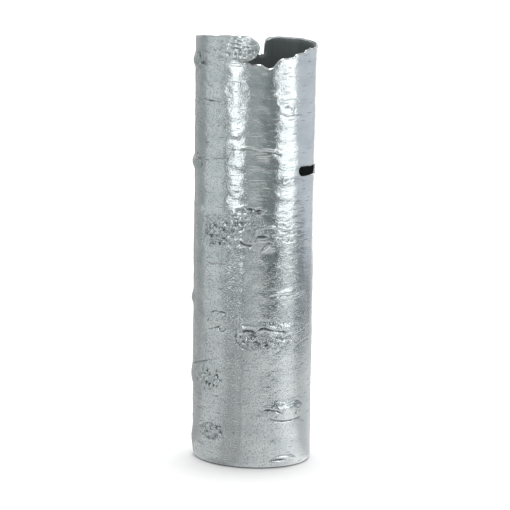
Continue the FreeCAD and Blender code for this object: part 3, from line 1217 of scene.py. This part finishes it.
def card(name, start, end, distance, low, high, light):
    """A curved card that only the metal's reflections see.

    It stands at a distance from the vase between two bearings, in degrees
    from the front with right positive, and gives off an even light.
    """
    material, _, emission = glowing(name)
    emission.default_value = (*light, 1)
    bearings = np.radians(np.linspace(start, end, 13))
    foot = [(distance * math.sin(b), -distance * math.cos(b), low) for b in bearings]
    head = [(x, y, high) for x, y, _ in foot]
    count = len(foot)
    faces = [(i, i + 1, count + i + 1, count + i) for i in range(count - 1)]
    only_reflected(stage_mesh(name, foot + head, faces, material))


def by_bearing(tree, levels):
    """A level for each direction round the vase, from (bearing in degrees, level)."""
    place = node(tree, "ShaderNodeTexCoord").outputs["Object"]
    parts = node(tree, "ShaderNodeSeparateXYZ", {"Vector": place})
    front = math_of(tree, "MULTIPLY", parts.outputs["Y"], -1.0)
    bearing = math_of(tree, "ARCTAN2", parts.outputs["X"], front)
    part = spread(tree, bearing, -math.pi, math.pi)
    ramp = node(tree, "ShaderNodeValToRGB", {"Fac": part})
    stops = ramp.color_ramp.elements
    while len(stops) < len(levels):
        stops.new(0.5)
    for stop, (degrees, level) in zip(stops, levels):
        stop.position = (degrees + 180) / 360
        stop.color = (level, level, level, 1)
    return ramp.outputs["Color"]


def table_in_reflections():
    """The table as the metal shows it: greyer than the floor, brighter before a softbox."""
    material, tree, emission = glowing("table_glow")
    near = [
        (-180, 0.62), (-140, 0.60), (-122, 0.48), (-108, 0.60), (-95, 0.84), (-66, 0.80), (-50, 0.55),
        (-30, 0.48), (-16, 0.72), (10, 0.87), (30, 0.91), (46, 1.06), (60, 1.28), (76, 1.15), (92, 0.80),
        (112, 0.80), (128, 0.88), (150, 0.80), (180, 0.62),
    ]
    far = [
        (-180, 0.60), (-140, 0.55), (-122, 0.45), (-100, 0.57), (-73, 0.82), (-51, 0.53), (-30, 0.38),
        (-11, 0.76), (9, 0.74), (26, 0.44), (40, 0.44), (50, 0.55), (66, 0.95), (84, 0.62), (97, 0.45),
        (132, 0.62), (160, 0.70), (180, 0.60),
    ]
    place = node(tree, "ShaderNodeTexCoord").outputs["Object"]
    distance = node(tree, "ShaderNodeVectorMath", {"Vector": place}, operation="LENGTH").outputs["Value"]
    away = spread(tree, distance, 0.50, 0.78)
    tree.links.new(mixed(tree, away, by_bearing(tree, near), by_bearing(tree, far)), emission)
    only_reflected(level_square("table_glow", -0.001, material))


def white_world():
    """Even soft light from all round, with plain white behind the vase."""
    world = bpy.data.worlds.new("studio")
    bpy.context.scene.world = world
    world.use_nodes = True
    tree = world.node_tree
    seen = node(tree, "ShaderNodeLightPath").outputs["Is Camera Ray"]
    background = tree.nodes["Background"]
    background.inputs["Color"].default_value = (1, 1, 1, 1)
    tree.links.new(spread(tree, seen, 0.0, 1.0, 0.8, 1.05), background.inputs["Strength"])


def overhead_light():
    """Broad soft light from above and a little behind, which gives the foot its shadow."""
    data = bpy.data.lights.new("overhead", "SUN")
    data.energy = 1.9
    data.angle = math.radians(26)
    lamp = placed("overhead", data)
    toward = Vector((0.02, 0.14, 1.0)).normalized()
    lamp.rotation_mode = "QUATERNION"
    lamp.rotation_quaternion = toward.to_track_quat("Z", "Y")


def studio():
    white_world()
    bpy.context.scene.view_settings.view_transform = "Standard"
    bpy.context.scene.view_settings.look = "None"
    pale_floor()
    table_in_reflections()
    card("softbox_left", -49, -29, 0.7, 0.10, 0.9, (1.85, 1.87, 1.88))
    card("left_low_shade", -52, -20, 0.66, -0.05, 0.10, (0.27, 0.30, 0.30))
    card("softbox_right", 41.5, 79, 0.7, 0.08, 0.9, (1.85, 1.87, 1.88))
    card("front_shade_far", -28, 13, 1.3, 0.0, 0.6, (0.44, 0.48, 0.48))
    card("front_shade_near", 13, 42, 1.2, 0.0, 0.6, (0.27, 0.30, 0.30))
    card("left_shade", -64, -50, 0.75, 0.0, 0.9, (0.36, 0.39, 0.39))
    card("left_fill", -104, -64, 0.8, 0.0, 0.9, (0.84, 0.88, 0.88))
    card("far_left_shade", -134, -106, 0.8, 0.0, 0.9, (0.42, 0.45, 0.45))
    card("right_fill", 82, 140, 0.8, 0.0, 0.9, (0.80, 0.83, 0.89))
    card("right_edge_shade", 80, 110, 0.66, 0.0, 0.10, (0.22, 0.24, 0.25))
    card("low_right_shade", 110, 140, 0.66, 0.0, 0.06, (0.30, 0.32, 0.34))
    card("front_low_shade", 20, 46, 0.66, 0.0, 0.10, (0.13, 0.15, 0.15))
    card("right_band_trim", 46, 54, 0.66, 0.01, 0.125, (0.34, 0.37, 0.37))
    card("right_low_shade", 54, 80, 0.66, 0.0, 0.10, (0.60, 0.63, 0.63))
    card("back_softbox", 150, 172, 0.8, 0.05, 0.9, (1.6, 1.6, 1.6))
    card("back_shade", 176, 200, 0.8, 0.0, 0.9, (0.30, 0.32, 0.33))
    overhead_light()


CAMERA_DISTANCE = 3.4
CAMERA_HEIGHT = 0.841
AIM = Vector((0.0012, 0.0, 0.1919))
LENS = 261.7
ROLL = math.radians(0.75)


def make_camera():
    data = bpy.data.cameras.new("camera")
    data.lens = LENS
    data.sensor_width = 36.0
    data.clip_end = 100.0
    camera = placed("camera", data)
    place = Vector((0.0, -CAMERA_DISTANCE, CAMERA_HEIGHT))
    facing = (AIM - place).to_track_quat("-Z", "Y").to_matrix().to_4x4()
    camera.matrix_world = Matrix.Translation(place) @ facing @ Matrix.Rotation(ROLL, 4, "Z")
    bpy.context.scene.camera = camera


studio()
make_camera()
